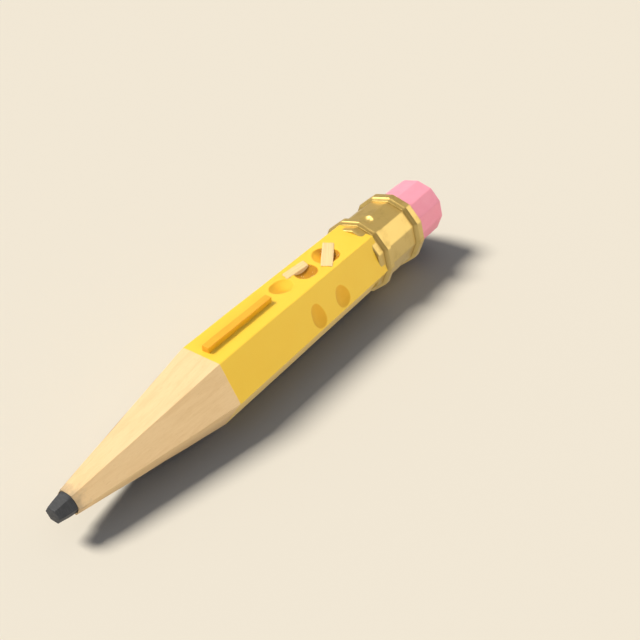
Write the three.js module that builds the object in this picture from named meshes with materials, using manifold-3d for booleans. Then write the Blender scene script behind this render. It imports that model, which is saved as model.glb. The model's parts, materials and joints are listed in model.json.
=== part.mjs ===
// A short six-sided pencil stub lying on a table: knife-cut point, bitten lacquered casing,
// beaded brass ferrule and pink eraser. Millimetres, +X along the pencil towards the eraser, +Z up.

import * as THREE from 'three';
import { mergeVertices } from 'three/addons/utils/BufferGeometryUtils.js';
import Module from 'manifold-3d';

// Driving dimensions. Stations along the pencil are measured from the paint line, where the
// lacquer stops and the knife-cut taper begins; negative stations lie towards the point.
const flatToFlat = 7.15;
const cornerEnd = 25.5;
const taperLength = 16.2;
const tipCornerRadius = 1.25;
const tenonRadius = 3.48;
const tenonEnd = 29.5;
const glueGap = 0.04;

const coreRadius = 1.04;
const coreFit = 0.02;
const coreEnd = 29.4;
const leadTip = -17.8;
const leadTipCorner = 0.8;
const leadBaseCorner = 1.12;

const sheet = 0.3;
const bandRadius = 3.84;
const lipStation = 24.37;
const ferruleEnd = 33.5;
const beadRadius = 4.32;
const beadRoll = 0.55;
const beadStations = [26.07, 32.74];
const cornerFit = 0.03;

const dimpleStation = 27.4;
const dimpleBall = 1.3;
const dimpleDepth = 0.36;

const eraserRadius = 3.5;
const eraserStart = 29.55;
const eraserEnd = 38.9;
const eraserEdge = 0.25;

const restGap = 0.02;
const bar = { station: 5.19, length: 9.2, width: 0.76, height: 0.6 };

// Bite dents pressed into the top flat: station, side offset, half length, half width and depth
const topDents = [
  { station: 12.34, side: 0.36, halfLength: 1.35, halfWidth: 1.02, depth: 0.32 },
  { station: 15.84, side: 0.02, halfLength: 1.42, halfWidth: 1.18, depth: 0.45 },
  { station: 19.34, side: -0.07, halfLength: 1.46, halfWidth: 1.46, depth: 0.48 },
];

// Shallow bite dents on the flat beside it: station, distance down from the upper arris, size
const sideDents = [
  { station: 13.14, down: 2.82, halfLength: 1.02, halfWidth: 1.2, depth: 0.25 },
  { station: 17.33, down: 2.88, halfLength: 1.02, halfWidth: 1.2, depth: 0.25 },
];

// Bare-wood splinters lodged across the two deeper dents, a little proud of the top flat
const splinterThick = 0.42;
const splinterProud = 0.09;
const splinterFit = 0.03;
const splinters = [
  { name: 'splinter_front', station: 15.47, side: 0.95, length: 3.33, width: 0.93, slant: 0.15, turn: -5.2 },
  { name: 'splinter_rear', station: 19.6, side: -0.14, length: 4.43, width: 1.23, slant: 0, turn: 31.3 },
];

// Worked out from the driving dimensions
const apothem = flatToFlat / 2;
const cornerRadius = apothem / Math.cos(Math.PI / 6);
const innerRadius = bandRadius - sheet;
const restTilt = Math.atan2(beadRadius - apothem, beadStations[0]);
const beyond = 5;
const coreSides = 24;
const roundSides = 48;

const lacquer = new THREE.MeshStandardMaterial({ color: 0xf2c230, roughness: 0.4, flatShading: true });
const bareWood = new THREE.MeshStandardMaterial({ color: 0xe6c08a, roughness: 0.8, flatShading: true });
const graphite = new THREE.MeshStandardMaterial({ color: 0x3c3d3f, roughness: 0.5, flatShading: true });
const brass = new THREE.MeshStandardMaterial({
  color: 0xc9a94e, roughness: 0.35, metalness: 1, flatShading: true,
});
const rubber = new THREE.MeshStandardMaterial({ color: 0xf09aa6, roughness: 0.85, flatShading: true });
const orangePrint = new THREE.MeshStandardMaterial({ color: 0xf0a834, roughness: 0.45, flatShading: true });

const wasm = await Module();
wasm.setup();

// Closed geometry to a solid for joining and cutting, without the slivers at a lathe's poles
function toSolid(geometry) {
  const bare = geometry.clone();
  bare.deleteAttribute('normal');
  bare.deleteAttribute('uv');
  const merged = mergeVertices(bare);
  const index = merged.index.array;
  const triVerts = [];
  for (let i = 0; i < index.length; i += 3) {
    const [a, b, c] = [index[i], index[i + 1], index[i + 2]];
    if (a !== b && b !== c && c !== a) triVerts.push(a, b, c);
  }
  return new wasm.Manifold(new wasm.Mesh({
    numProp: 3,
    vertProperties: new Float32Array(merged.attributes.position.array),
    triVerts: new Uint32Array(triVerts),
  }));
}

function toGeometry(solid) {
  const { vertProperties, triVerts } = solid.getMesh();
  const geometry = new THREE.BufferGeometry();
  geometry.setAttribute('position', new THREE.BufferAttribute(vertProperties, 3));
  geometry.setIndex(new THREE.BufferAttribute(triVerts, 1));
  return geometry;
}

// Turned about the pencil's axis; the profile is a list of [radius, station] points.
// With six sides the corners fall so that one flat faces up and one faces down.
function turned(profile, sides, start = 0) {
  const points = profile.map(([radius, station]) => new THREE.Vector2(radius, station));
  return toSolid(new THREE.LatheGeometry(points, sides, start).rotateZ(-Math.PI / 2));
}

function sixSided(profile) {
  return turned(profile, 6, Math.PI / 6);
}

function block(low, high) {
  const size = new THREE.Vector3().subVectors(high, low);
  const middle = new THREE.Vector3().addVectors(low, high).multiplyScalar(0.5);
  return toSolid(new THREE.BoxGeometry(size.x, size.y, size.z).translate(middle.x, middle.y, middle.z));
}

// An ellipsoid whose cap of the given footprint and depth lies below z = 0
function dentTool({ halfLength, halfWidth, depth }) {
  const ball = 1.35;
  const rise = Math.sqrt(ball * ball - 1);
  const geometry = new THREE.SphereGeometry(ball, 24, 16).rotateX(Math.PI / 2).translate(0, 0, rise);
  return geometry.scale(halfLength, halfWidth, depth / (ball - rise));
}

// The casing before it is split: six-sided barrel and taper, turned tenon, bore for the core
function makeCasing() {
  const outside = sixSided([
    [0, -taperLength],
    [tipCornerRadius, -taperLength],
    [cornerRadius, 0],
    [cornerRadius, cornerEnd],
    [0, cornerEnd],
  ]);
  const tenon = turned([
    [0, cornerEnd - beyond],
    [tenonRadius, cornerEnd - beyond],
    [tenonRadius, tenonEnd],
    [0, tenonEnd],
  ], roundSides);
  const boreRadius = coreRadius + coreFit;
  const bore = turned([
    [0, -taperLength - beyond],
    [boreRadius, -taperLength - beyond],
    [boreRadius, tenonEnd + beyond],
    [0, tenonEnd + beyond],
  ], coreSides);
  return outside.add(tenon).subtract(bore);
}

// Half of the casing above or below the glue line, which runs through two opposite corners
function halfOf(casing, side) {
  const near = side * glueGap / 2;
  const far = side * 2 * cornerRadius;
  const low = new THREE.Vector3(-taperLength - beyond, -2 * cornerRadius, Math.min(near, far));
  const high = new THREE.Vector3(tenonEnd + beyond, 2 * cornerRadius, Math.max(near, far));
  return casing.intersect(block(low, high));
}

function dimpleBallSolid(radius) {
  const height = bandRadius - dimpleDepth + dimpleBall;
  return toSolid(new THREE.SphereGeometry(radius, 24, 16).translate(dimpleStation, 0, height));
}

function makeUpperCasing(casing) {
  let solid = halfOf(casing, 1);
  for (const dent of topDents) {
    solid = solid.subtract(toSolid(dentTool(dent).translate(dent.station, dent.side, apothem)));
  }
  for (const dent of sideDents) {
    const fromMiddle = cornerRadius / 2 - dent.down;
    const tool = dentTool(dent).translate(dent.station, fromMiddle, apothem).rotateX(Math.PI / 3);
    solid = solid.subtract(toSolid(tool));
  }
  for (const splinter of splinters) {
    solid = solid.subtract(makeSplinter(splinter, splinterFit));
  }
  return solid.subtract(dimpleBallSolid(dimpleBall + sheet + glueGap));
}

// Graphite core: a round rod whose bare end is pared to six facets and worn blunt
function makeCore() {
  const rod = turned([
    [0, leadTip],
    [coreRadius, leadTip],
    [coreRadius, coreEnd],
    [0, coreEnd],
  ], coreSides);
  const slope = (leadBaseCorner - leadTipCorner) / (-taperLength - leadTip);
  const pared = sixSided([
    [0, leadTip],
    [leadTipCorner, leadTip],
    [leadTipCorner + slope * (coreEnd + beyond - leadTip), coreEnd + beyond],
    [0, coreEnd + beyond],
  ]);
  return rod.intersect(pared);
}

// Outer arc of a rolled bead, from the band up over the crest and down to the band again
function beadArc(station, steps = 10) {
  const centre = beadRadius - beadRoll;
  const foot = Math.asin((bandRadius - centre) / beadRoll);
  return Array.from({ length: steps + 1 }, (_, i) => {
    const angle = Math.PI - foot - (Math.PI - 2 * foot) * i / steps;
    return [centre + beadRoll * Math.sin(angle), station + beadRoll * Math.cos(angle)];
  });
}

// The hollow inside the roll, walked from the eraser's side back to the barrel's side
function beadHollow(station, steps = 6) {
  const centre = beadRadius - beadRoll;
  const hollow = beadRoll - sheet;
  const arc = Array.from({ length: steps + 1 }, (_, i) => {
    const angle = Math.PI * i / steps;
    return [centre + hollow * Math.sin(angle), station + hollow * Math.cos(angle)];
  });
  return [[innerRadius, station + hollow], ...arc, [innerRadius, station - hollow]];
}

// Thin brass tube with two rolled beads, its mouth cut through by the barrel's six corners
function makeFerrule() {
  const [front, rear] = beadStations;
  const tube = turned([
    [innerRadius, lipStation],
    [bandRadius, lipStation],
    ...beadArc(front),
    ...beadArc(rear),
    [bandRadius, ferruleEnd],
    [innerRadius, ferruleEnd],
    ...beadHollow(rear),
    ...beadHollow(front),
    [innerRadius, lipStation],
  ], roundSides);
  const slotRadius = cornerRadius + cornerFit / Math.cos(Math.PI / 6);
  const corners = sixSided([
    [0, lipStation - beyond],
    [slotRadius, lipStation - beyond],
    [slotRadius, cornerEnd + cornerFit],
    [0, cornerEnd + cornerFit],
  ]);
  const inside = turned([
    [0, front + beadRoll - sheet],
    [bandRadius - sheet / 2, front + beadRoll - sheet],
    [bandRadius - sheet / 2, tenonEnd],
    [0, tenonEnd],
  ], roundSides);
  const bulge = dimpleBallSolid(dimpleBall + sheet).intersect(inside);
  return tube.add(bulge).subtract(corners).subtract(dimpleBallSolid(dimpleBall));
}

// Eraser plug with softened end edge
function makeEraser(steps = 4) {
  const edge = Array.from({ length: steps + 1 }, (_, i) => {
    const angle = Math.PI / 2 * i / steps;
    return [
      eraserRadius - eraserEdge * (1 - Math.cos(angle)),
      eraserEnd - eraserEdge * (1 - Math.sin(angle)),
    ];
  });
  return turned([[0, eraserStart], [eraserRadius, eraserStart], ...edge, [0, eraserEnd]], roundSides);
}

function makeBar() {
  const floor = apothem + restGap;
  const low = new THREE.Vector3(bar.station - bar.length / 2, -bar.width / 2, floor);
  const high = new THREE.Vector3(bar.station + bar.length / 2, bar.width / 2, apothem + bar.height);
  return block(low, high);
}

// A torn sliver with slanted ends, larger all round by the fit where it is the slot that holds it
function makeSplinter({ station, side, length, width, slant, turn }, fit = 0) {
  const [x, y] = [length / 2 + fit, width / 2 + fit];
  const outline = new THREE.Shape();
  outline.moveTo(-x - slant, -y);
  outline.lineTo(x - slant, -y);
  outline.lineTo(x + slant, y);
  outline.lineTo(slant - x, y);
  outline.closePath();
  const geometry = new THREE.ExtrudeGeometry(outline, {
    depth: splinterThick + 2 * fit, bevelEnabled: false,
  });
  geometry.rotateZ(THREE.MathUtils.degToRad(turn));
  return toSolid(geometry.translate(station, side, apothem + splinterProud - splinterThick - fit));
}

const pencil = new THREE.Group();

function addPiece(name, solid, material) {
  const mesh = new THREE.Mesh(toGeometry(solid), material);
  mesh.name = name;
  pencil.add(mesh);
}

const casing = makeCasing();
addPiece('graphite_core', makeCore(), graphite);
addPiece('upper_casing', makeUpperCasing(casing), lacquer);
addPiece('lower_casing', halfOf(casing, -1), lacquer);
addPiece('ferrule', makeFerrule(), brass);
addPiece('eraser', makeEraser(), rubber);
addPiece('imprint_bar', makeBar(), orangePrint);
for (const splinter of splinters) {
  addPiece(splinter.name, makeSplinter(splinter), bareWood);
}

// At rest the stub leans on the lower front edge of the barrel and on the first bead
pencil.rotation.y = -restTilt;
const bounds = new THREE.Box3().setFromObject(pencil, true);
const middle = bounds.getCenter(new THREE.Vector3());
pencil.position.set(-middle.x, -middle.y, -bounds.min.z);

const stub = new THREE.Group();
stub.name = 'pencil_stub';
stub.add(pencil);

export default stub;
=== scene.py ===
import json
import math

import bmesh
import bpy
import numpy as np
from mathutils import Matrix, Vector

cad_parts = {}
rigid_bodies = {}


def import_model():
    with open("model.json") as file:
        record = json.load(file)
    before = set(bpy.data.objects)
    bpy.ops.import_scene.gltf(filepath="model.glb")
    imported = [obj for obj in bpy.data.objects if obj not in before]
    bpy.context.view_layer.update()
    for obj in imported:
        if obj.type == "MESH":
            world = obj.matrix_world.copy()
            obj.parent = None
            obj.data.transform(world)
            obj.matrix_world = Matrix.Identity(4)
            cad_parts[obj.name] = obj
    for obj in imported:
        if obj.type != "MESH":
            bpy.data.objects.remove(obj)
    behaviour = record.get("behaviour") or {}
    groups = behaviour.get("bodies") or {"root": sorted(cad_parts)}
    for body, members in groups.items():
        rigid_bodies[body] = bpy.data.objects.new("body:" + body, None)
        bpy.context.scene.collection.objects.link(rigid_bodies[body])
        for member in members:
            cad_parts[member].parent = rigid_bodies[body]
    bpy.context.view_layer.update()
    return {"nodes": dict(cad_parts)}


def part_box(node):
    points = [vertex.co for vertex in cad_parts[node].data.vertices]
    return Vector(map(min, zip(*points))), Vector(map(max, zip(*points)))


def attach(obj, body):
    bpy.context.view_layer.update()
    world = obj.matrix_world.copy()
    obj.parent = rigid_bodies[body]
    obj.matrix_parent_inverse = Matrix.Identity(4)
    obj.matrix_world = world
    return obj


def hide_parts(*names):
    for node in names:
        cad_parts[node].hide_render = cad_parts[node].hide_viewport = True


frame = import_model()
print("frame loaded with", len(frame["nodes"]), "nodes")

# The pencil's own frame: millimetres, x from the paint line towards the eraser, z up through a flat.
# At rest the stub leans on the front edge of its lower flat and on the first bead of the ferrule.
stub = {
    "flatToFlat": 7.15,
    "cornerEnd": 25.5,
    "beadRadius": 4.32,
    "frontBead": 26.07,
    "rearBead": 32.5,
    "frontBeadHalf": 0.55,
    "rearBeadHalf": 0.71,
    "ferruleEnd": 33.33,
    "eraserEnd": 38.9,
    "barMiddle": (5.19, 0.0, 3.885),
}
apothem = stub["flatToFlat"] / 2
cornerRadius = apothem / math.cos(math.pi / 6)
restTilt = math.atan2(stub["beadRadius"] - apothem, stub["frontBead"])
turnToRest = Matrix.Rotation(-restTilt, 4, "Y")
barLow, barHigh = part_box("imprint_bar")
restShift = (barLow + barHigh) * 500 - turnToRest @ Vector(stub["barMiddle"])
pencilToRow = Matrix.Scale(0.001, 4) @ Matrix.Translation(restShift) @ turnToRest


# Sockets and node trees

class Wire:
    def __init__(self, tree, socket=None):
        self.tree = tree
        self.socket = socket

    def node(self, kind, settings=None, sockets=None, out=0):
        made = self.tree.nodes.new(kind)
        for name, value in (settings or {}).items():
            setattr(made, name, value)
        for key, value in (sockets or {}).items():
            if isinstance(value, Wire):
                self.tree.links.new(value.socket, made.inputs[key])
            else:
                made.inputs[key].default_value = value
        return Wire(self.tree, made.outputs[out] if made.outputs else None)

    def also(self, out):
        return Wire(self.tree, self.socket.node.outputs[out])

    def math(self, operation, first, second=0.0, third=0.0):
        return self.node("ShaderNodeMath", {"operation": operation}, {0: first, 1: second, 2: third})

    def __add__(self, other):
        return self.math("ADD", self, other)

    def __sub__(self, other):
        return self.math("SUBTRACT", self, other)

    def __mul__(self, other):
        return self.math("MULTIPLY", self, other)

    def __truediv__(self, other):
        return self.math("DIVIDE", self, other)

    def __radd__(self, other):
        return self.math("ADD", other, self)

    def __rsub__(self, other):
        return self.math("SUBTRACT", other, self)

    def __rmul__(self, other):
        return self.math("MULTIPLY", other, self)

    def __rtruediv__(self, other):
        return self.math("DIVIDE", other, self)

    def __neg__(self):
        return self.math("MULTIPLY", self, -1.0)

    def __abs__(self):
        return self.math("ABSOLUTE", self)


def step(value, low, high):
    return value.node("ShaderNodeMapRange", {"interpolation_type": "SMOOTHSTEP"},
                      {"Value": value, "From Min": low, "From Max": high})


def mix(factor, first, second):
    return factor.node("ShaderNodeMix", {"data_type": "RGBA"}, {0: factor, 6: first, 7: second}, out=2)


def stretch(vector, scale, turn=(0, 0, 0)):
    return vector.node("ShaderNodeMapping", None, {"Vector": vector, "Scale": scale, "Rotation": turn})


def cloud(vector, scale, detail=3.0, rough=0.55, warp=0.0):
    return vector.node("ShaderNodeTexNoise", None, {
        "Vector": vector, "Scale": scale, "Detail": detail, "Roughness": rough, "Distortion": warp})


def hairline(vector, scale, width, turn=(0, 0, 0)):
    field = cloud(stretch(vector, scale, turn), 1.0, 2.0)
    return step(abs(field - 0.5), width, width * 0.25)


def axesOf(vector):
    x = vector.node("ShaderNodeSeparateXYZ", None, {0: vector})
    return x, x.also(1), x.also(2)


def colour(r, g, b):
    return (r, g, b, 1.0)


def startFinish(name):
    material = bpy.data.materials.new(name)
    material.use_nodes = True
    material.node_tree.nodes.clear()
    start = Wire(material.node_tree)
    place = start.node("ShaderNodeTexCoord", out="Object")
    # back from the row frame to the pencil's own millimetres
    back = -(turnToRest.inverted() @ restShift)
    local = start.node("ShaderNodeMapping", None, {
        "Vector": place, "Location": back, "Rotation": (0, restTilt, 0), "Scale": (1000, 1000, 1000)})
    return material, start, local


def endFinish(material, start, sockets, height):
    bump = start.node("ShaderNodeBump", None, {"Strength": 1.0, "Distance": 0.001, "Height": height})
    shader = start.node("ShaderNodeBsdfPrincipled", None, {**sockets, "Normal": bump})
    start.node("ShaderNodeOutputMaterial", None, {"Surface": shader})
    return material


# Finishes: heights are millimetres

woodLook = {
    "pale": colour(0.92, 0.64, 0.325),
    "dark": colour(0.83, 0.545, 0.255),
    "pore": colour(0.70, 0.42, 0.18),
    "roughness": 0.72,
    "grainHeight": 0.008,
}


def woodGrain(local):
    rings = cloud(stretch(local, (0.045, 1.5, 1.5)), 1.0, 3.0, 0.5, 0.6)
    fibres = cloud(stretch(local, (0.2, 9.0, 9.0)), 1.0, 3.0, 0.6)
    pores = step(cloud(stretch(local, (0.8, 14.0, 14.0)), 1.0, 1.0, 0.5), 0.68, 0.76)
    tone = step(rings, 0.4, 0.68) * 0.5 + step(fibres, 0.35, 0.72) * 0.3
    base = mix(tone, woodLook["pale"], woodLook["dark"])
    base = mix(pores * 0.4, base, woodLook["pore"])
    height = (fibres * 0.7 + rings * 0.5 - pores * 0.8) * woodLook["grainHeight"]
    return base, height


lacquerLook = {
    "yellow": colour(0.98, 0.616, 0.052),
    "warmYellow": colour(0.97, 0.578, 0.046),
    # amber and brown colour the bites: partly crushed lacquer and bruised wood, partly painted shade
    "amber": colour(0.88, 0.45, 0.03),
    "brownBruiseAndShadow": colour(0.50, 0.205, 0.015),
    "graphiteSmudge": colour(0.14, 0.13, 0.12),
    "roughness": 0.42,
    "paintWander": 0.14,
    "paintEdge": 0.03,
    "coating": 0.006,
    "peel": 0.004,
    "scratchDepth": 0.004,
    "crushDepth": 0.012,
    "rubSpread": 2.2,
    "rubFrom": 1.30,
    "rubTo": 1.42,
    "smudgeSpread": 2.4,
    "smudgeFrom": -14.9,
    "smudgeTo": -16.6,
    "smudgeStrength": 0.45,
    "coatWeight": 0.2,
    "coatRoughness": 0.25,
}


def makeLacquerFinish():
    material, start, local = startFinish("lacqueredWood")
    x = axesOf(local)[0]
    bite = start.node("ShaderNodeAttribute", {"attribute_name": "bite"}, out="Fac")
    arris = start.node("ShaderNodeAttribute", {"attribute_name": "arris"}, out="Fac")
    woodBase, woodHeight = woodGrain(local)
    edge = x + (cloud(local, 1.1, 2.0) - 0.5) * lacquerLook["paintWander"]
    painted = step(edge, -lacquerLook["paintEdge"], lacquerLook["paintEdge"])
    patches = cloud(local, 0.35, 3.0)
    crush = cloud(stretch(local, (1.2, 3.4, 3.4)), 1.0, 4.0, 0.65)
    # lacquer gone amber in the bites and brown in the deepest, which is partly painted shade: the hollows
    # darker and brown where the splinters' shadows fall; scratched, rubbed through on the arrises
    stainedAndShaded = bite.math("MINIMUM", bite, 1.0)
    deep = bite.math("MAXIMUM", bite - 1, 0.0)
    handled = step(cloud(local, 0.5, 2.0), 0.5, 0.62)
    scratch = hairline(local, (0.35, 6.0, 6.0), 0.010, (0.0, 0.0, 0.25)) * handled
    rub = arris + (cloud(local, 1.5, 4.0, 0.65) - 0.5) * lacquerLook["rubSpread"]
    rubbed = step(rub, lacquerLook["rubFrom"], lacquerLook["rubTo"])
    coat = mix(step(patches, 0.35, 0.75) * 0.4, lacquerLook["yellow"], lacquerLook["warmYellow"])
    coat = mix(stainedAndShaded * (0.97 + (crush - 0.5) * 0.3), coat, lacquerLook["amber"])
    coat = mix(deep * (0.95 + (crush - 0.5) * 0.4), coat, lacquerLook["brownBruiseAndShadow"])
    coat = mix(scratch * 0.3, coat, lacquerLook["warmYellow"])
    skin = mix(rubbed, coat, mix(0.35 + crush * 0.3, woodBase, lacquerLook["amber"]))
    dust = x + (cloud(local, 1.6, 4.0) - 0.5) * lacquerLook["smudgeSpread"]
    smudge = step(dust, lacquerLook["smudgeFrom"], lacquerLook["smudgeTo"])
    raw = mix(smudge * lacquerLook["smudgeStrength"], woodBase, lacquerLook["graphiteSmudge"])
    base = mix(painted, raw, skin)
    covered = painted * (1 - rubbed)
    peel = cloud(local, 2.2, 2.0) * lacquerLook["peel"] - scratch * lacquerLook["scratchDepth"]
    coatHeight = peel + lacquerLook["coating"] - stainedAndShaded * (1 - crush) * lacquerLook["crushDepth"]
    height = covered * coatHeight + (1 - covered) * woodHeight
    gloss = lacquerLook["roughness"] + (patches - 0.5) * 0.12 + scratch * 0.15 + stainedAndShaded * 0.25
    roughness = covered * gloss + (1 - covered) * woodLook["roughness"]
    return endFinish(material, start, {
        "Base Color": base,
        "Roughness": roughness,
        "Coat Weight": covered * (1 - stainedAndShaded) * lacquerLook["coatWeight"],
        "Coat Roughness": lacquerLook["coatRoughness"],
    }, height)


splinterLook = {
    "cream": colour(0.92, 0.655, 0.305),
    "tan": colour(0.81, 0.53, 0.23),
    "roughness": 0.8,
    "fibreHeight": 0.02,
}


def makeSplinterFinish(name, turn):
    material, start, local = startFinish(name)
    along = stretch(local, (1, 1, 1), (0, 0, -turn))
    fibres = cloud(stretch(along, (0.3, 6.5, 6.5)), 1.0, 4.0, 0.65)
    streaks = cloud(stretch(along, (0.12, 2.4, 2.4)), 1.0, 2.0)
    tone = step(fibres, 0.42, 0.74) * 0.5 + step(streaks, 0.45, 0.7) * 0.3
    base = mix(tone, splinterLook["cream"], splinterLook["tan"])
    return endFinish(material, start, {
        "Base Color": base,
        "Roughness": splinterLook["roughness"],
    }, fibres * splinterLook["fibreHeight"])


graphiteLook = {
    "grey": colour(0.053, 0.054, 0.056),
    "burnished": colour(0.080, 0.081, 0.083),
    "roughness": 0.5,
    "specular": 0.35,
    "grainHeight": 0.008,
    "dragHeight": 0.006,
}


def makeGraphiteFinish():
    material, start, local = startFinish("graphite")
    grains = cloud(local, 6.0, 3.0, 0.7)
    drag = cloud(stretch(local, (9.0, 2.0, 2.0), (0.5, 0.3, 0.0)), 1.0, 3.0)
    base = mix(step(drag, 0.42, 0.68) * 0.6, graphiteLook["grey"], graphiteLook["burnished"])
    roughness = graphiteLook["roughness"] + (grains - 0.5) * 0.3
    height = grains * graphiteLook["grainHeight"] + drag * graphiteLook["dragHeight"]
    return endFinish(material, start, {
        "Base Color": base,
        "Roughness": roughness,
        "Specular IOR Level": graphiteLook["specular"],
    }, height)


brassLook = {
    "bright": colour(0.85, 0.64, 0.24),
    "tarnish": colour(0.50, 0.35, 0.11),
    "roughness": 0.32,
    "creaseOffset": 0.07,
    "creaseWidth": 0.18,
    "creaseCore": 0.02,
    "creaseStrength": 0.6,
    "lineHeight": 0.003,
    "scuffDepth": 0.003,
}


def makeBrassFinish():
    material, start, local = startFinish("rolledBrass")
    x = axesOf(local)[0]
    lines = cloud(stretch(local, (9.0, 0.35, 0.35)), 1.0, 3.0, 0.6)
    blotch = cloud(local, 0.5, 4.0, 0.6)
    # tarnish gathers in the creases beside both beads; the darkening there is partly painted shade along
    # the bead flanks
    fromFront = abs(x - stub["frontBead"]) - stub["frontBeadHalf"]
    fromRear = abs(x - stub["rearBead"]) - stub["rearBeadHalf"]
    fromBead = x.math("MINIMUM", fromFront, fromRear)
    fromCrease = abs(fromBead - brassLook["creaseOffset"])
    creaseTarnishAndShade = step(fromCrease, brassLook["creaseWidth"], brassLook["creaseCore"])
    dull = step(blotch, 0.48, 0.72) * 0.35
    base = mix(dull + creaseTarnishAndShade * brassLook["creaseStrength"], brassLook["bright"], brassLook["tarnish"])
    scuff = hairline(local, (1.2, 3.0, 3.0), 0.010, (0.3, 0.2, 0.6))
    roughness = brassLook["roughness"] + dull * 0.2 + creaseTarnishAndShade * 0.15 + lines * 0.08 + scuff * 0.1
    height = lines * brassLook["lineHeight"] - scuff * brassLook["scuffDepth"]
    return endFinish(material, start, {"Base Color": base, "Roughness": roughness, "Metallic": 1.0}, height)


rubberLook = {
    "pink": colour(0.94, 0.335, 0.395),
    "paler": colour(0.96, 0.365, 0.425),
    "smudge": colour(0.45, 0.24, 0.26),
    "roughness": 0.8,
    "smudgeFrom": 1.0,
    "smudgeTo": 0.05,
    "smudgeStrength": 0.28,
    "gritHeight": 0.010,
    "mottleHeight": 0.015,
}


def makeRubberFinish():
    material, start, local = startFinish("eraserRubber")
    fromEnd = stub["eraserEnd"] - axesOf(local)[0]
    mottle = cloud(local, 0.8, 4.0, 0.6)
    grit = cloud(local, 7.0, 2.0, 0.6)
    base = mix(step(mottle, 0.35, 0.7), rubberLook["pink"], rubberLook["paler"])
    streaks = cloud(stretch(local, (1.0, 0.7, 2.2), (0.6, 0.0, 0.0)), 1.0, 4.0, 0.65)
    used = step(fromEnd, rubberLook["smudgeFrom"], rubberLook["smudgeTo"]) * step(streaks, 0.48, 0.75)
    base = mix(used * rubberLook["smudgeStrength"], base, rubberLook["smudge"])
    roughness = rubberLook["roughness"] + (grit - 0.5) * 0.15
    height = grit * rubberLook["gritHeight"] + mottle * rubberLook["mottleHeight"]
    return endFinish(material, start, {"Base Color": base, "Roughness": roughness}, height)


printLook = {
    "orange": colour(0.93, 0.438, 0.032),
    "deep": colour(0.86, 0.37, 0.028),
    # side is painted shade for the long side faces
    "side": colour(0.94, 0.46, 0.0155),
    "roughness": 0.42,
    "shoulder": 0.56,
    "shoulderFade": 0.1,
    "sideFrom": 0.31,
    "sideTo": 0.36,
    "flowHeight": 0.012,
}


def makePrintFinish():
    material, start, local = startFinish("orangePrint")
    y, z = axesOf(local)[1:]
    flow = cloud(stretch(local, (0.7, 2.0, 2.0)), 1.0, 3.0)
    base = mix(step(flow, 0.4, 0.72) * 0.5, printLook["orange"], printLook["deep"])
    # painted shade: the long sides take a less blue orange than the top, the tint of a side face in shade
    low = step(z - apothem, printLook["shoulder"], printLook["shoulder"] - printLook["shoulderFade"])
    sideShadeMask = step(abs(y), printLook["sideFrom"], printLook["sideTo"])
    base = mix(low * sideShadeMask, base, printLook["side"])
    roughness = printLook["roughness"] + (flow - 0.5) * 0.2
    height = flow * printLook["flowHeight"]
    return endFinish(material, start, {"Base Color": base, "Roughness": roughness}, height)


lacquerFinish = makeLacquerFinish()
graphiteFinish = makeGraphiteFinish()
brassFinish = makeBrassFinish()
rubberFinish = makeRubberFinish()
printFinish = makePrintFinish()
print("finishes made:", len(bpy.data.materials))


# Meshes from rings of points

def turnOutwards(mesh):
    work = bmesh.new()
    work.from_mesh(mesh)
    bmesh.ops.recalc_face_normals(work, faces=work.faces)
    work.to_mesh(mesh)
    work.free()


def ringMesh(name, rings, attributes=None):
    count, around = rings.shape[:2]
    index = np.arange(count * around).reshape(count, around)
    beside = np.roll(index, -1, axis=1)
    quads = np.stack([index[:-1], beside[:-1], beside[1:], index[1:]], axis=-1).reshape(-1, 4)
    faces = quads.tolist() + [index[0].tolist()[::-1], index[-1].tolist()]
    mesh = bpy.data.meshes.new(name)
    mesh.from_pydata(rings.reshape(-1, 3).tolist(), [], faces)
    for key, values in (attributes or {}).items():
        layer = mesh.attributes.new(key, "FLOAT", "POINT")
        layer.data.foreach_set("value", values.astype(np.float32).ravel())
    turnOutwards(mesh)
    return mesh


def finishPiece(name, mesh, material, node=None, sharpAngle=40):
    mesh.transform(pencilToRow)
    mesh.materials.clear()
    mesh.materials.append(material)
    mesh.shade_smooth()
    mesh.set_sharp_from_angle(angle=math.radians(sharpAngle))
    piece = bpy.data.objects.new(name, mesh)
    bpy.context.scene.collection.objects.link(piece)
    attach(piece, "root")
    if node:
        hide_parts(node)
    print(name, "made with", sum(len(face.vertices) - 2 for face in mesh.polygons), "triangles")


def spread(*stretches):
    runs = [np.linspace(low, high, steps, endpoint=False) for low, high, steps in stretches]
    return np.concatenate(runs + [[stretches[-1][1]]])


def smoothStep(low, high, value):
    part = np.clip((value - low) / (high - low), 0.0, 1.0)
    return part * part * (3 - 2 * part)


def ripple(u, v, seed, waves=9):
    draw = np.random.default_rng(seed)
    total = np.zeros(np.broadcast(u, v).shape)
    for _ in range(waves):
        heading, phase = draw.uniform(0, 2 * np.pi, 2)
        pitch = draw.uniform(0.6, 2.4)
        total = total + np.sin((u * np.cos(heading) + v * np.sin(heading)) * pitch + phase)
    return total / waves ** 0.5


# Casing: two glued half slats, six-sided and lacquered, cut to a bare taper at the point

casing = {
    "taperLength": 16.2,
    "tipCorner": 1.25,
    "tenonEnd": 29.5,
    "tenonRadius": 3.3,
    "boreRadius": 1.06,
    "arris": 0.16,
    "cutArris": 0.04,
    "coating": 0.015,
    "coatingFrom": -0.05,
    "coatingTo": 0.12,
    "knifeWave": 0.02,
    "knifeWaveFade": 1.7,
    "knifeSeed": 21,
    "facetShift": 2.7,
    "lacquerWave": 0.008,
    "lacquerSeed": 33,
    "glueGap": 0.006,
    "tipRows": 0.2,
    "paintRows": 0.3,
    "bittenFrom": 10.4,
    "bittenTo": 21.6,
    "tenonStep": 0.0001,
    "upperFlatSteps": (16, 80, 72),
    "lowerFlatSteps": (20, 20, 20),
    "arcSteps": 8,
    "grooveSteps": 17,
}
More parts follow.
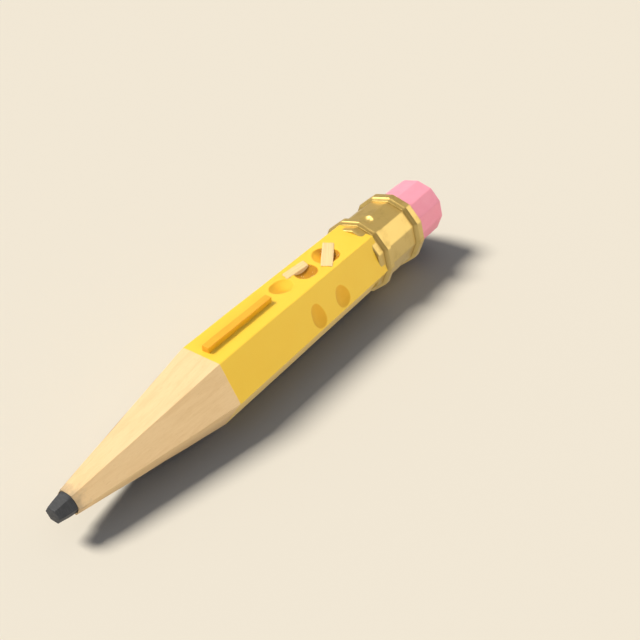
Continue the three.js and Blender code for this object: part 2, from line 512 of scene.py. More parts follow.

# front and rear are the stain at the two ends of a bite: 0 yellow, 1 amber, 2 brown. The colours are partly
# painted shade: amber darkens the hollows, brown paints the splinters' shadows, and the first bite's front
# is painted as its shaded wall
topBites = [
    {"station": 12.34, "side": 0.36, "halfLength": 1.35, "halfWidth": 1.02,
     "depth": 0.3, "crush": 0.008, "front": 1.3, "rear": 0.6, "seed": 3},
    {"station": 15.84, "side": 0.02, "halfLength": 1.42, "halfWidth": 1.18,
     "depth": 0.42, "crush": 0.014, "front": 1.8, "rear": 2.0, "seed": 5},
    {"station": 19.34, "side": -0.07, "halfLength": 1.46, "halfWidth": 1.46,
     "depth": 0.45, "crush": 0.014, "front": 1.0, "rear": 2.0, "seed": 8},
]

# the side bites' amber is painted shade in their hollows
sideBites = [
    {"station": 13.14, "down": 2.82, "halfLength": 1.02, "halfWidth": 1.2,
     "depth": 0.24, "crush": 0.004, "front": 0.85, "rear": 1.05, "seed": 11},
    {"station": 17.33, "down": 2.88, "halfLength": 1.02, "halfWidth": 1.2,
     "depth": 0.24, "crush": 0.004, "front": 0.85, "rear": 1.05, "seed": 14},
]

biteForm = {
    "ball": 1.35,
    "rim": 0.04,
    "rimReach": 1.1,
    "rimWidth": 0.13,
    "twofold": 0.05,
    "threefold": 0.04,
    "grainAlong": 1.4,
    "grainAcross": 6.0,
    "crushEdge": (1.0, 0.75),
    "stainAndShadeTurn": (-0.4, 0.5),
    "stainAndShadeEdge": (1.05, 0.95),
    "deepStainAndShadow": 1.3,
}


def biteShape(along, across, bite):
    seed = bite["seed"]
    bearing = np.arctan2(across, along)
    outline = 1 + biteForm["twofold"] * np.sin(2 * bearing + seed)
    outline = outline + biteForm["threefold"] * np.sin(3 * bearing + 2 * seed)
    u, v = along / bite["halfLength"], across / bite["halfWidth"]
    reach = np.hypot(u, v) / outline
    rise = math.sqrt(biteForm["ball"] ** 2 - 1)
    bowl = np.sqrt(np.clip(biteForm["ball"] ** 2 - reach ** 2, rise ** 2, None)) - rise
    bowl = bowl / (biteForm["ball"] - rise)
    rim = np.exp(-((reach - biteForm["rimReach"]) / biteForm["rimWidth"]) ** 2) * biteForm["rim"]
    crushed = ripple(along * biteForm["grainAlong"], across * biteForm["grainAcross"], seed)
    crushed = crushed * bite["crush"] * smoothStep(*biteForm["crushEdge"], reach)
    depth = bite["depth"] * (bowl - rim) + crushed
    # the stain runs from the front value to the rear value, painting one wall of a bite darker than the
    # other as painted shade
    stainAndShade = bite["front"] + (bite["rear"] - bite["front"]) * smoothStep(*biteForm["stainAndShadeTurn"], u)
    return depth, stainAndShade * smoothStep(*biteForm["stainAndShadeEdge"], reach)


# Half an outline of a six-sided bar of unit flat distance, with the outward normal at each point
def halfOutline(startDegrees, flatSteps, arcSteps):
    points, normals = [], []

    def pointAt(degrees, reach=1.0):
        return np.array((math.cos(math.radians(degrees)), math.sin(math.radians(degrees)))) * reach

    def cornerAt(degrees):
        return pointAt(degrees, 1 / math.cos(math.pi / 6))

    def add(point, degrees):
        points.append(point)
        normals.append(pointAt(degrees))

    for side, steps in enumerate(flatSteps):
        corner = startDegrees + 60 * side
        first = corner if side == 0 else corner - 30
        turns = arcSteps // 2 if side == 0 else arcSteps
        for i in range(turns):
            add(cornerAt(corner), first + (corner + 30 - first) * i / turns)
        for i in range(steps):
            part = i / steps
            add(cornerAt(corner) * (1 - part) + cornerAt(corner + 60) * part, corner + 30)
    last = startDegrees + 180
    for i in range(arcSteps // 2 + 1):
        add(cornerAt(last), last - 30 + 30 * i / (arcSteps // 2))
    return np.array(points), np.array(normals)


def casingRings(stations, startDegrees, flatSteps):
    unit, normal = halfOutline(startDegrees, flatSteps, casing["arcSteps"])
    side = 1 if startDegrees == 0 else -1
    x = stations[:, None]
    taper = np.clip(-x / casing["taperLength"], 0, 1)
    tipFlat = casing["tipCorner"] * math.cos(math.pi / 6)
    onBarrel = smoothStep(casing["coatingFrom"], casing["coatingTo"], x)
    flat = apothem + (tipFlat - apothem) * taper - casing["coating"] * (1 - onBarrel) * (1 - taper)
    rounding = casing["cutArris"] + (casing["arris"] - casing["cutArris"]) * onBarrel
    y = (flat - rounding) * unit[:, 0] + rounding * normal[:, 0]
    z = (flat - rounding) * unit[:, 1] + rounding * normal[:, 1]
    # shallow waves of the knife on the cut facets, faint unevenness in the lacquer
    facing = np.degrees(np.arctan2(normal[:, 1], normal[:, 0]))
    facet = np.round((facing - 30) / 60) * casing["facetShift"]
    waves = ripple(x * 0.55 + facet, facet * 3.0, casing["knifeSeed"])
    tip = -casing["taperLength"]
    fade = smoothStep(tip, tip + casing["knifeWaveFade"], x)
    inward = waves * casing["knifeWave"] * (1 - onBarrel) * fade
    lacquerWaves = ripple(x * 0.5, facing * 0.06, casing["lacquerSeed"])
    inward = inward + lacquerWaves * casing["lacquerWave"] * onBarrel
    # the bite attribute carries stain and painted shade to the lacquer finish
    stainAndShade = np.zeros_like(y)
    if side > 0:
        down = -(y + cornerRadius / 2) / 2 - (z - apothem) * math.cos(math.pi / 6)
        onTop, onSide = normal[:, 1] > 0.8, normal[:, 0] < -0.5
        placed = [(bite, y - bite["side"], onTop) for bite in topBites]
        placed += [(bite, bite["down"] - down, onSide) for bite in sideBites]
        for bite, across, here in placed:
            depth, shade = biteShape(x - bite["station"], across, bite)
            inward = inward + depth * here
            stainAndShade = np.maximum(stainAndShade, shade * here)
    y = y - inward * normal[:, 0]
    z = z - inward * normal[:, 1]
    # round tenon inside the ferrule
    tenon = x > stub["cornerEnd"]
    y = np.where(tenon, casing["tenonRadius"] * normal[:, 0], y)
    z = np.where(tenon, casing["tenonRadius"] * normal[:, 1], z)
    split = side * casing["glueGap"] / 2
    z = np.where(z * side < casing["glueGap"] / 2, split, z)
    # glue face and half-round groove for the core
    groove = np.radians(np.linspace(startDegrees + 180, startDegrees, casing["grooveSteps"]))
    grooveY = casing["boreRadius"] * np.cos(groove)
    grooveZ = np.where(np.abs(np.sin(groove)) < 1e-6, split, casing["boreRadius"] * np.sin(groove))
    shape = (len(stations), len(groove))
    y = np.concatenate([y, np.broadcast_to(grooveY, shape)], axis=1)
    z = np.concatenate([z, np.broadcast_to(grooveZ, shape)], axis=1)
    arris = np.abs((facing + 60) % 60 - 30) / 30 * onBarrel
    attributes = {"bite": stainAndShade, "arris": np.broadcast_to(arris, stainAndShade.shape)}
    for key, values in attributes.items():
        attributes[key] = np.concatenate([values, np.zeros(shape)], axis=1)
    return np.stack([np.broadcast_to(x, y.shape), y, z], axis=-1), attributes


# Rows are closer at the tip, at the paint line and along the bites. One thin row steps down to the tenon.
tipRow = -casing["taperLength"]
cornerRow = stub["cornerEnd"]
tipEnd, paintEnd = tipRow + casing["tipRows"], casing["paintRows"]
bittenFrom, bittenTo = casing["bittenFrom"], casing["bittenTo"]
cutRun = [(tipRow, tipEnd, 4), (tipEnd, -paintEnd, 80), (-paintEnd, paintEnd, 16)]
tenonRun = (cornerRow + casing["tenonStep"], casing["tenonEnd"], 3)
bittenRun = [(paintEnd, bittenFrom, 40), (bittenFrom, bittenTo, 190), (bittenTo, cornerRow, 14)]
upperStations = spread(*cutRun, *bittenRun, tenonRun)
lowerStations = spread(*cutRun, (paintEnd, cornerRow, 60), tenonRun)

upperRings, upperMarks = casingRings(upperStations, 0, casing["upperFlatSteps"])
finishPiece("upperCasing", ringMesh("upperCasing", upperRings, upperMarks), lacquerFinish,
            "upper_casing")
lowerRings, lowerMarks = casingRings(lowerStations, 180, casing["lowerFlatSteps"])
finishPiece("lowerCasing", ringMesh("lowerCasing", lowerRings, lowerMarks), lacquerFinish,
            "lower_casing")


# Graphite core: a round rod pared to six facets and worn blunt

core = {
    "radius": 1.04,
    "end": 29.4,
    "tip": -17.8,
    "tipFlat": 0.69,
    "baseFlat": 0.97,
    "blunt": 0.07,
    "bluntShare": 0.98,
    "facetSoftness": 0.012,
    "rodFrom": -15.6,
    "chipping": 0.008,
    "chipFrom": -15.9,
    "chipTo": -16.4,
    "chipSeed": 41,
    "around": 180,
}


def coreRings():
    blunted = core["tip"] + core["blunt"]
    rodFrom = core["rodFrom"]
    stations = spread((core["tip"], blunted, 8), (blunted, rodFrom, 40), (rodFrom, core["end"], 12))
    turn = np.radians(np.linspace(0, 360, core["around"], endpoint=False))
    x = stations[:, None]
    slope = (core["baseFlat"] - core["tipFlat"]) / (-casing["taperLength"] - core["tip"])
    flat = core["tipFlat"] + slope * (x - core["tip"])
    fold = (turn + np.pi / 6) % (np.pi / 3) - np.pi / 6
    soft = core["facetSoftness"]
    radius = -soft * np.logaddexp(-flat / np.cos(fold) / soft, -core["radius"] / soft)
    worn = np.clip((blunted - x) / core["blunt"], 0, 1)
    radius = radius - core["blunt"] * (1 - np.sqrt(1 - worn ** 2 * core["bluntShare"]))
    chips = ripple(x * 4.0, np.cos(turn) * 3 + np.sin(turn) * 2, core["chipSeed"]) * core["chipping"]
    radius = radius + chips * smoothStep(core["chipFrom"], core["chipTo"], x)
    y = radius * np.cos(turn + np.pi / 2)
    z = radius * np.sin(turn + np.pi / 2)
    return np.stack([np.broadcast_to(x, y.shape), y, z], axis=-1)


finishPiece("graphiteCore", ringMesh("graphiteCore", coreRings()), graphiteFinish,
            "graphite_core", 25)


# Eraser: rubber plug, squeezed where it leaves the ferrule and rubbed soft at its end

eraser = {
    "radius": 3.5,
    "start": 29.55,
    "edge": 0.22,
    "bulge": 0.05,
    "bulgeAt": 0.45,
    "bulgeWidth": 0.5,
    "flats": 12,
    "flatDepth": 0.106,
    "flatSoftness": 0.008,
    "flatFade": 0.4,
    "wear": 0.02,
    "wearReach": 1.0,
    "lumps": 0.010,
    "lumpsFrom": 0.27,
    "lumpsTo": 0.87,
    "lumpSeed": 52,
    "around": 240,
    "edgeSteps": 13,
    "lidSteps": 16,
    "lidCentre": 0.02,
}


def eraserRings():
    edge, end = eraser["edge"], stub["eraserEnd"]
    straight = spread((eraser["start"], stub["ferruleEnd"], 4), (stub["ferruleEnd"], end - edge, 60))
    arc = np.radians(np.linspace(0, 90, eraser["edgeSteps"]))[1:]
    lid = np.linspace(1.0, eraser["lidCentre"], eraser["lidSteps"])[1:]
    stations = np.concatenate([straight, end - edge + edge * np.sin(arc), np.full(len(lid), end)])
    flatRadius = eraser["radius"] - edge
    wall = np.full(len(straight), eraser["radius"])
    profile = np.concatenate([wall, flatRadius + edge * np.cos(arc), flatRadius * lid])
    turn = np.radians(np.linspace(0, 360, eraser["around"], endpoint=False))
    x = stations[:, None] + 0 * turn
    out = x - stub["ferruleEnd"]
    # faint flats with soft corners between them, left by the crimped ferrule
    flatAngle = 2 * np.pi / eraser["flats"]
    flat = (eraser["radius"] - eraser["flatDepth"]) / np.cos(np.abs(turn % flatAngle - flatAngle / 2))
    soft = eraser["flatSoftness"]
    cut = eraser["radius"] + soft * np.logaddexp(-flat / soft, -eraser["radius"] / soft)
    radius = profile[:, None] * (1 - cut / eraser["radius"] * smoothStep(0, eraser["flatFade"], out))
    fromBulge = (out - eraser["bulgeAt"]) / eraser["bulgeWidth"]
    radius = radius + eraser["bulge"] * np.exp(-fromBulge ** 2) * (out > 0)
    y, z = radius * np.cos(turn), radius * np.sin(turn)
    # the end is rubbed a little lower on one side
    lean = 1 + (y - z) / eraser["radius"] / 2
    x = x - smoothStep(end - eraser["wearReach"], end, x) * eraser["wear"] * lean
    lumps = ripple(x * 1.2, y * 1.1 + z * 0.7, eraser["lumpSeed"]) * eraser["lumps"]
    lumps = lumps * smoothStep(eraser["lumpsFrom"], eraser["lumpsTo"], out)
    return np.stack([x, y + lumps * np.cos(turn), z + lumps * np.sin(turn)], axis=-1)


finishPiece("eraserPlug", ringMesh("eraserPlug", eraserRings()), rubberFinish,
            "eraser", 50)


# Imprint bar: a thick orange strip with soft edges, standing proud of the top flat

bar = {
    "length": 9.2,
    "width": 0.76,
    "height": 0.6,
    "sunk": 0.03,
    "edge": 0.045,
    "sway": 0.008,
    "swayFrom": 0.1,
    "topSeed": 61,
    "sideSeed": 64,
    "steps": 90,
    "edgeSteps": 6,
    "crownSteps": 8,
}


def barRings():
    edge, half = bar["edge"], bar["width"] / 2
    low, high = apothem - bar["sunk"], apothem + bar["height"]
    bend = np.radians(np.linspace(0, 90, bar["edgeSteps"]))
    reach = bar["length"] / 2 - edge
    capped = edge * np.sin(bend)
    straight = np.linspace(-reach, reach, bar["steps"])[1:-1]
    stations = np.concatenate([-reach - capped[::-1], straight, reach + capped])
    drawn = edge * (1 - np.cos(bend))
    insets = np.concatenate([drawn[::-1], np.zeros(bar["steps"] - 2), drawn])[:, None]
    middle = (low + high) / 2
    crown = np.linspace(half - edge, edge - half, bar["crownSteps"])[1:-1]
    outlineY = np.concatenate([[half, half], half - edge + edge * np.cos(bend), crown,
                               edge - half - edge * np.sin(bend), [-half, -half]])
    outlineZ = np.concatenate([[low, middle], high - edge + edge * np.sin(bend), np.full(len(crown), high),
                               high - edge + edge * np.cos(bend), [middle, low]])
    x = stations[:, None] + stub["barMiddle"][0]
    y = outlineY * (1 - insets / half)
    z = np.where(outlineZ > low, outlineZ - insets, outlineZ)
    topSway = ripple(x * 0.9, y * 2.0, bar["topSeed"]) * bar["sway"]
    z = z + topSway * smoothStep(low + bar["swayFrom"], high, z)
    y = y + ripple(x * 1.4, z * 0.2, bar["sideSeed"]) * bar["sway"]
    return np.stack([np.broadcast_to(x, y.shape), y, z], axis=-1)


finishPiece("imprintBar", ringMesh("imprintBar", barRings()), printFinish,
            "imprint_bar", 60)


# Splinters: torn slivers of bare wood lodged across the two deeper bites

splinters = {
    "splinterFront": {"node": "splinter_front", "station": 15.47, "side": 0.95, "length": 3.33,
                      "width": 0.93, "slant": 0.15, "turn": -5.2, "seed": 71},
    "splinterRear": {"node": "splinter_rear", "station": 19.6, "side": -0.14, "length": 4.43,
                     "width": 1.23, "slant": 0.0, "turn": 31.3, "seed": 72},
}

splinterForm = {
    "thick": 0.55,
    "proud": 0.09,
    "tear": 0.1,
    "ridges": 0.010,
    "narrowing": 0.03,
    "wornEdge": 0.03,
    "stepsAlong": 60,
    "stepsAcross": 26,
}


def splinterRings(splinter):
    along = np.linspace(-1, 1, splinterForm["stepsAlong"])[:, None]
    across = np.linspace(-1, 1, splinterForm["stepsAcross"])
    draw = np.random.default_rng(splinter["seed"])
    tear = draw.uniform(0.0, splinterForm["tear"], (2, len(across)))
    length, width = splinter["length"] / 2, splinter["width"] / 2
    ends = np.where(along < 0, 1 - tear[0] / length, 1 - tear[1] / length)
    u = along * ends * length + across * splinter["slant"]
    v = across * width * (1 - splinterForm["narrowing"] * np.abs(along) ** 3) + 0 * u
    ridges = ripple(u * 0.4, v * 11.0, splinter["seed"]) * splinterForm["ridges"]
    top = apothem + splinterForm["proud"] + ridges
    top = top - splinterForm["wornEdge"] * (np.abs(across) ** 10 + np.abs(along) ** 16)
    under = apothem + splinterForm["proud"] - splinterForm["thick"] + 0 * u
    x = np.concatenate([u, u[:, ::-1]], axis=1)
    y = np.concatenate([v, v[:, ::-1]], axis=1)
    z = np.concatenate([top, under[:, ::-1]], axis=1)
    turn = math.radians(splinter["turn"])
    placedX = splinter["station"] + x * math.cos(turn) - y * math.sin(turn)
    placedY = splinter["side"] + x * math.sin(turn) + y * math.cos(turn)
    return np.stack([placedX, placedY, z], axis=-1)


for name, splinter in splinters.items():
    finish = makeSplinterFinish(name + "Wood", math.radians(splinter["turn"]))
    finishPiece(name, ringMesh(name, splinterRings(splinter)), finish, splinter["node"], 35)


# Geometry Nodes

def startTree(name, inputs):
    tree = bpy.data.node_groups.new(name, "GeometryNodeTree")
    tree.interface.new_socket("Geometry", in_out="INPUT", socket_type="NodeSocketGeometry")
    for key, value in inputs.items():
        kind = "NodeSocketFloat"
        if isinstance(value, int):
            kind = "NodeSocketInt"
        if isinstance(value, bpy.types.Material):
            kind = "NodeSocketMaterial"
        tree.interface.new_socket(key, in_out="INPUT", socket_type=kind)
    tree.interface.new_socket("Geometry", in_out="OUTPUT", socket_type="NodeSocketGeometry")
    start = Wire(tree)
    entry = tree.nodes.new("NodeGroupInput")
    given = {socket.name: Wire(tree, socket) for socket in entry.outputs if socket.name}
    return tree, start, given


def endTree(start, geometry, material):
    whole = start.node("GeometryNodeRealizeInstances", None, {0: geometry})
    clothed = start.node("GeometryNodeSetMaterial", None, {"Geometry": whole, "Material": material})
    start.node("NodeGroupOutput", None, {0: clothed})


def growMesh(name, mesh, tree, inputs):
    host = bpy.data.objects.new(name + "Host", mesh)
    bpy.context.scene.collection.objects.link(host)
    modifier = host.modifiers.new(name, "NODES")
    modifier.node_group = tree
    for item in tree.interface.items_tree:
        if item.in_out == "INPUT" and item.name in inputs:
            modifier[item.identifier] = inputs[item.name]
    evaluated = host.evaluated_get(bpy.context.evaluated_depsgraph_get())
    grown = bpy.data.meshes.new_from_object(evaluated)
    grown.name = name
    bpy.data.objects.remove(host)
    turnOutwards(grown)
    return grown


# Ferrule: a rolled outline carried round the pencil's axis

ferrule = {
    "band": 3.91,
    "sheet": 0.37,
    "lip": 24.37,
    "roll": 0.55,
    "ridge": 1.45,
    "crest": 0.55,
    "fillet": 0.05,
    "rim": 0.03,
    "frontBeadRows": (25.3, 26.9),
    "rearBeadRow": 31.6,
    "rimSteps": 4,
    "innerRows": 40,
    "play": 0.01,
}

ferruleInputs = {
    "Turn steps": 288,
    "Flat distance": apothem + ferrule["play"],
    "Corner end": stub["cornerEnd"],
    "Band": ferrule["band"],
    "Inner": ferrule["band"] - ferrule["sheet"],
    "Crimp flats": 12,
    "Crimp depth": 0.12,
    "Crimp softness": 0.012,
    "Bead crimp": 0.1,
    "Bead crest": 0.15,
    "Bead foot": 0.6,
    "Thinnest": 0.05,
    "Lip": ferrule["lip"],
    "Lip drop": 0.09,
    "Lip length": 0.17,
    "Dimple station": 27.4,
    "Dimple ball": 1.05,
    "Dimple depth": 0.34,
    "Dimple softness": 0.1,
    "Finish": brassFinish,
}


def ferruleOutline():
    band, rim, crest = ferrule["band"], ferrule["rim"], ferrule["crest"]
    beadFrom, beadTo = ferrule["frontBeadRows"]
    rearFrom, end = ferrule["rearBeadRow"], stub["ferruleEnd"]
    outer = spread((ferrule["lip"] + rim, beadFrom, 10), (beadFrom, beadTo, 34),
                   (beadTo, rearFrom, 50), (rearFrom, end - 2 * rim, 40))
    radius = np.full(len(outer), band)
    for bead in ("frontBead", "rearBead"):
        reach = (np.abs(outer - stub[bead]) / stub[bead + "Half"] - crest) / (1 - crest)
        reach = np.clip(reach, 0, 1)
        flank = (1 - reach ** ferrule["ridge"]) ** (1 / ferrule["ridge"])
        rolled = stub["beadRadius"] - ferrule["roll"] * (1 - flank)
        gap = np.where(reach < 1, (rolled - radius) / ferrule["fillet"], -30)  # no bead past its foot
        radius = radius + ferrule["fillet"] * np.logaddexp(0, gap)
    bend = np.radians(np.linspace(0, 90, ferrule["rimSteps"]))[1:]
    rolledRadius = band - rim * (1 - np.cos(bend))
    rolledStation = rim * (1 - np.sin(bend))
    inner = np.linspace(end, ferrule["lip"], ferrule["innerRows"])
    radii = [rolledRadius[::-1], radius, rolledRadius, np.full(len(inner), band - ferrule["sheet"])]
    stations = [ferrule["lip"] + rolledStation[::-1], outer, end - rolledStation, inner]
    return np.stack([np.concatenate(radii), np.concatenate(stations)], axis=-1)


def ferruleTree():
    tree, start, given = startTree("ferruleRoll", ferruleInputs)
    outlineRadius, outlineStation = axesOf(start.node("GeometryNodeInputPosition"))[:2]

    def keep(geometry, name, value):
        return start.node("GeometryNodeStoreNamedAttribute", {"data_type": "FLOAT"},
                          {"Geometry": geometry, "Name": name, "Value": value})

    def read(name):
        return start.node("GeometryNodeInputNamedAttribute", {"data_type": "FLOAT"}, {"Name": name})

    outline = start.node("GeometryNodeMeshToCurve", None, {0: given["Geometry"]})
    outline = keep(keep(outline, "outlineRadius", outlineRadius), "outlineStation", outlineStation)
    path = start.node("GeometryNodeCurvePrimitiveCircle", None, {"Resolution": given["Turn steps"]})
    path = keep(path, "lap", start.node("GeometryNodeSplineParameter", out="Factor"))
    swept = start.node("GeometryNodeCurveToMesh", None, {"Curve": path, "Profile Curve": outline})
    radius, station, turn = read("outlineRadius"), read("outlineStation"), read("lap") * (2 * math.pi)

    # soft flats left by the crimping jaws, a little deeper on the beads, and a lip pressed on the wood
    jaw = 2 * math.pi / given["Crimp flats"]
    lean = abs(turn.math("FLOORED_MODULO", turn, jaw) - jaw * 0.5)
    pressed = (given["Band"] - given["Crimp depth"]) / lean.math("COSINE", lean)
    sunk = given["Band"] - pressed.math("SMOOTH_MIN", pressed, given["Band"], given["Crimp softness"])
    fromMiddle = abs(station - (stub["frontBead"] + stub["rearBead"]) / 2)
    fromBead = abs(fromMiddle - (stub["rearBead"] - stub["frontBead"]) / 2)
    onBead = 1 - step(fromBead, given["Bead crest"], given["Bead foot"])
    onLip = 1 - (station - given["Lip"]) / given["Lip length"]
    lipDrop = onLip.math("MAXIMUM", onLip, 0.0) * given["Lip drop"]
    drawnIn = sunk * (1 + onBead * given["Bead crimp"]) + lipDrop

    # the mouth's inner wall lies on the flats and thins out where a corner comes through
    sixth = math.pi / 3
    fold = abs(turn.math("FLOORED_MODULO", turn + sixth / 2, sixth) - sixth / 2)
    onFlats = given["Flat distance"] / fold.math("COSINE", fold)
    thinned = onFlats.math("MINIMUM", onFlats, given["Band"] - drawnIn - given["Thinnest"])
    isInner = radius.math("LESS_THAN", radius, given["Inner"] + ferrule["play"])
    inMouth = station.math("LESS_THAN", station, given["Corner end"])
    mouthFit = (radius.math("MAXIMUM", radius, thinned) - radius) * isInner * inMouth
    radius = radius + mouthFit - drawnIn * (1 - isInner)

    # punched dimple
    along = station - given["Dimple station"]
    across = turn.math("WRAP", turn, math.pi, -math.pi) * given["Band"]
    room = given["Dimple ball"] * given["Dimple ball"] - along * along - across * across
    sag = room.math("SQRT", room.math("MAXIMUM", room, 0.0)) - given["Dimple ball"] + given["Dimple depth"]
    pushed = sag.math("SMOOTH_MAX", sag, 0.0, given["Dimple softness"])
    radius = radius - pushed * room.math("GREATER_THAN", room, 0.0)

    placed = start.node("ShaderNodeCombineXYZ", None, {
        0: station, 1: radius * turn.math("SINE", -turn), 2: radius * turn.math("COSINE", turn)})
    shaped = start.node("GeometryNodeSetPosition", None, {"Geometry": swept, "Position": placed})
    endTree(start, shaped, given["Finish"])
    return tree


def ferruleMesh():
    points = ferruleOutline()
    outline = bpy.data.meshes.new("ferruleOutline")
    edges = [(i, (i + 1) % len(points)) for i in range(len(points))]
    outline.from_pydata([(radius, station, 0.0) for radius, station in points.tolist()], edges, [])
    return growMesh("ferruleTube", outline, ferruleTree(), ferruleInputs)


finishPiece("ferruleTube", ferruleMesh(), brassFinish, "ferrule", 45)


# Torn fibres standing up in the two deeper bites

fibreInputs = {
    "Density": 2.5,
    "Shortest": 0.2,
    "Longest": 0.5,
    "Thickness": 0.03,
    "Thinner": 0.6,
    "Thicker": 1.3,
    "Lift": math.radians(22),
    "Spread": math.radians(16),
    "Seed": 5,
    "Finish": makeSplinterFinish("fibreWood", 0.0),
}


def fibreTree():
    tree, start, given = startTree("tornFibres", fibreInputs)

    def chance(low, high, shift):
        return start.node("FunctionNodeRandomValue", {"data_type": "FLOAT"},
                          {2: low, 3: high, "Seed": given["Seed"] + shift}, out=1)

    points = start.node("GeometryNodeDistributePointsOnFaces", None, {
        "Mesh": given["Geometry"], "Density": given["Density"], "Seed": given["Seed"]})
    fibre = start.node("GeometryNodeMeshCone", None, {
        "Vertices": 5, "Radius Top": 0.0, "Radius Bottom": given["Thickness"], "Depth": 1.0})
    backwards = chance(0.0, 1.0, 1)
    yaw = chance(-given["Spread"], given["Spread"], 2) + backwards.math("ROUND", backwards) * math.pi
    pitch = math.pi / 2 - chance(0.0, given["Lift"], 3)
    turned = start.node("ShaderNodeCombineXYZ", None, {1: pitch, 2: yaw})
    sized = start.node("ShaderNodeCombineXYZ", None, {
        0: chance(given["Thinner"], given["Thicker"], 4),
        1: chance(given["Thinner"], given["Thicker"], 5),
        2: chance(given["Shortest"], given["Longest"], 6)})
    fibres = start.node("GeometryNodeInstanceOnPoints", None, {
        "Points": points, "Instance": fibre, "Rotation": turned, "Scale": sized})
    endTree(start, fibres, given["Finish"])
    return tree


def bittenPatch():
    count, around = upperRings.shape[:2]
    index = np.arange(count * around).reshape(count, around)
    corners = [index[:-1, :-1], index[:-1, 1:], index[1:, 1:], index[1:, :-1]]
    quads = np.stack(corners, axis=-1).reshape(-1, 4)
    deep = upperMarks["bite"].ravel()[quads].min(axis=1) > biteForm["deepStainAndShadow"]
    patch = bpy.data.meshes.new("bittenPatch")
    patch.from_pydata(upperRings.reshape(-1, 3).tolist(), [], quads[deep].tolist())
    return patch


finishPiece("tornFibres", growMesh("tornFibres", bittenPatch(), fibreTree(), fibreInputs),
            fibreInputs["Finish"])


# Stage: pale floor, soft high key on the left, lower fill from the front right, rim from the eraser end

stage = {
    "floorColour": colour(0.902, 0.807, 0.640),
    "floorInMetal": colour(0.53, 0.49, 0.43),
    "farFloorInMetal": colour(1.0, 0.93, 0.84),
    "nearFloor": 0.035,
    "farFloor": 0.09,
    "floorMirrored": 0.9,
    "floorSize": 3.0,
    "keyFrom": (-0.313, 0.583, 0.750),
    "keyStrength": 3.38,
    "keyAngle": 19.0,
    "fillFrom": (-0.34, -0.79, 0.51),
    "fillStrength": 1.54,
    "fillAngle": 30.0,
    "rimFrom": (0.95, 0.15, 0.27),
    "rimStrength": 0.8,
    "rimAngle": 20.0,
    "ambient": 0.19,
    "ambientColour": colour(0.92, 1.0, 1.22),
    "backdrop": colour(0.888, 0.807, 0.665),
    "studioLevel": 0.34,
    "studioRise": 0.26,
    "studioRiseSpan": (-0.3, 0.6),
    "softboxFrom": (0.66, -0.57, 0.48),
    "softboxLevel": 1.1,
    "softboxSpan": (0.86, 0.97),
    "keyGlow": 2.2,
    "keyGlowSpan": (0.78, 0.96),
    "keyHeart": 4.0,
    "keyHeartSpan": (0.96, 0.99),
}


# 1 for light that has bounced more often than the count, else 0
def bouncedPast(count, depth):
    return step(depth, count + 0.2, count + 0.8)


# Metal sees the floor paler than its shadow, and light that has bounced twice stops there
def makeFloor():
    material = bpy.data.materials.new("paleFloor")
    material.use_nodes = True
    material.node_tree.nodes.clear()
    start = Wire(material.node_tree)
    glossy = start.node("ShaderNodeLightPath", out="Is Glossy Ray")
    depth = glossy.also("Diffuse Depth")
    mirrored = glossy * (1 - bouncedPast(0, depth))
    base = mix(bouncedPast(1, depth), stage["floorColour"], colour(0, 0, 0))
    matt = start.node("ShaderNodeBsdfDiffuse", None, {"Color": base})
    place = start.node("ShaderNodeTexCoord", out="Object")
    apart = start.node("ShaderNodeVectorMath", {"operation": "LENGTH"}, {0: place}, out="Value")
    far = step(apart, stage["nearFloor"], stage["farFloor"])
    seen = mix(far, stage["floorInMetal"], stage["farFloorInMetal"])
    pale = start.node("ShaderNodeEmission", None, {"Color": seen})
    share = mirrored * stage["floorMirrored"]
    shader = start.node("ShaderNodeMixShader", None, {0: share, 1: matt, 2: pale})
    start.node("ShaderNodeOutputMaterial", None, {"Surface": shader})
    half = stage["floorSize"] / 2
    mesh = bpy.data.meshes.new("floor")
    corners = [(-half, -half, 0), (half, -half, 0), (half, half, 0), (-half, half, 0)]
    mesh.from_pydata(corners, [], [(0, 1, 2, 3)])
    mesh.materials.append(material)
    floor = bpy.data.objects.new("floor", mesh)
    bpy.context.scene.collection.objects.link(floor)


def makeSun(name, towards, strength, angle):
    lamp = bpy.data.lights.new(name, "SUN")
    lamp.energy = strength
    lamp.angle = math.radians(angle)
    sun = bpy.data.objects.new(name, lamp)
    sun.rotation_mode = "QUATERNION"
    sun.rotation_quaternion = Vector(towards).to_track_quat("Z", "Y")
    sun.visible_glossy = False
    bpy.context.scene.collection.objects.link(sun)
    return sun


# A fill lights the pencil alone and throws no colour on the floor
def keepOffFloor(sun, pieces):
    sun.light_linking.receiver_collection = pieces
    sun.data.use_nodes = True
    sun.data.node_tree.nodes.clear()
    start = Wire(sun.data.node_tree)
    depth = start.node("ShaderNodeLightPath", out="Ray Depth")
    light = start.node("ShaderNodeEmission", None, {"Strength": 1 - bouncedPast(1, depth)})
    start.node("ShaderNodeOutputLight", None, {"Surface": light})


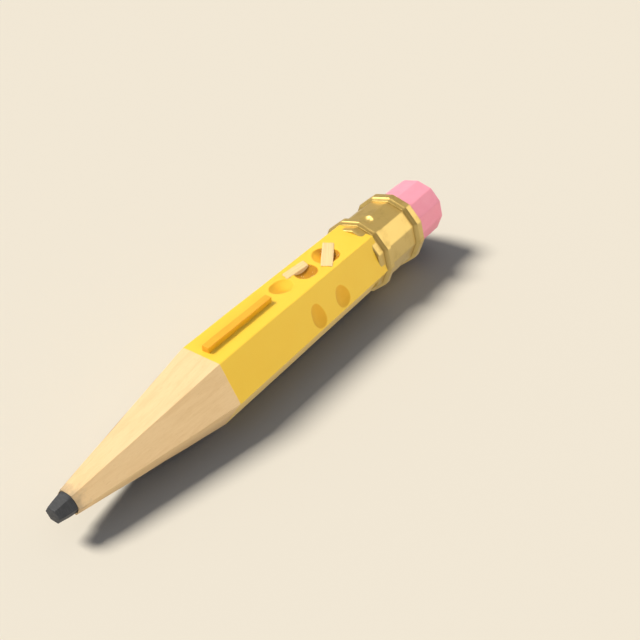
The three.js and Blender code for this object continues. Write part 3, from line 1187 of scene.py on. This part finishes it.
# Camera and transmission rays see the backdrop, gloss sees a studio with soft boxes, the rest a plain sky
def makeSky():
    world = bpy.data.worlds.new("softSky")
    world.use_nodes = True
    world.node_tree.nodes.clear()
    start = Wire(world.node_tree)
    path = start.node("ShaderNodeLightPath", out="Is Camera Ray")
    camera = path.math("MAXIMUM", path, path.also("Is Transmission Ray"))
    glossy = path.also("Is Glossy Ray") * (1 - bouncedPast(0, path.also("Diffuse Depth"))) * (1 - camera)
    towards = start.node("ShaderNodeTexCoord", out="Generated")

    def glow(middle, span):
        facing = start.node("ShaderNodeVectorMath", {"operation": "DOT_PRODUCT"},
                            {0: towards, 1: Vector(middle).normalized()}, out="Value")
        return step(facing, *span)

    rise = step(axesOf(towards)[0], *stage["studioRiseSpan"])
    studio = stage["studioLevel"] + rise * stage["studioRise"]
    studio = studio + glow(stage["softboxFrom"], stage["softboxSpan"]) * stage["softboxLevel"]
    studio = studio + glow(stage["keyFrom"], stage["keyGlowSpan"]) * stage["keyGlow"]
    studio = studio + glow(stage["keyFrom"], stage["keyHeartSpan"]) * stage["keyHeart"]
    strength = camera + stage["ambient"] * (1 - camera) * (1 - glossy) + glossy * studio
    tint = mix(camera.math("MAXIMUM", camera, glossy), stage["ambientColour"], stage["backdrop"])
    light = start.node("ShaderNodeBackground", None, {"Color": tint, "Strength": strength})
    start.node("ShaderNodeOutputWorld", None, {"Surface": light})
    bpy.context.scene.world = world


pencilPieces = bpy.data.collections.new("pencilPieces")
for piece in bpy.context.scene.objects:
    pencilPieces.objects.link(piece)
makeFloor()
makeSun("keyLight", stage["keyFrom"], stage["keyStrength"], stage["keyAngle"])
for side in ("fill", "rim"):
    sun = makeSun(side + "Light", stage[side + "From"], stage[side + "Strength"], stage[side + "Angle"])
    keepOffFloor(sun, pencilPieces)
makeSky()
bpy.context.scene.view_settings.view_transform = "Standard"
print("stage lit")


# Camera, placed in the pencil's own frame and then laid with it

view = {
    "eye": (-43.221, -41.552, 51.888),
    "heading": 33.969,
    "downward": 36.962,
    "fieldDegrees": 40.0,
    "sensorWidth": 36.0,
    "nearest": 0.005,
}


def makeCamera():
    heading, downward = math.radians(view["heading"]), math.radians(view["downward"])
    level = math.cos(downward)
    look = Vector((level * math.cos(heading), level * math.sin(heading), -math.sin(downward)))
    right = look.cross(Vector((0, 0, 1))).normalized()
    spin = Matrix((right, right.cross(look), -look)).transposed()
    data = bpy.data.cameras.new("camera")
    data.sensor_width = view["sensorWidth"]
    data.lens = view["sensorWidth"] / 2 / math.tan(math.radians(view["fieldDegrees"]) / 2)
    data.clip_start = view["nearest"]
    camera = bpy.data.objects.new("camera", data)
    camera.rotation_mode = "QUATERNION"
    camera.location = pencilToRow @ Vector(view["eye"])
    camera.rotation_quaternion = (turnToRest.to_3x3() @ spin).to_quaternion()
    bpy.context.scene.collection.objects.link(camera)
    bpy.context.scene.camera = camera


makeCamera()
print("camera placed")
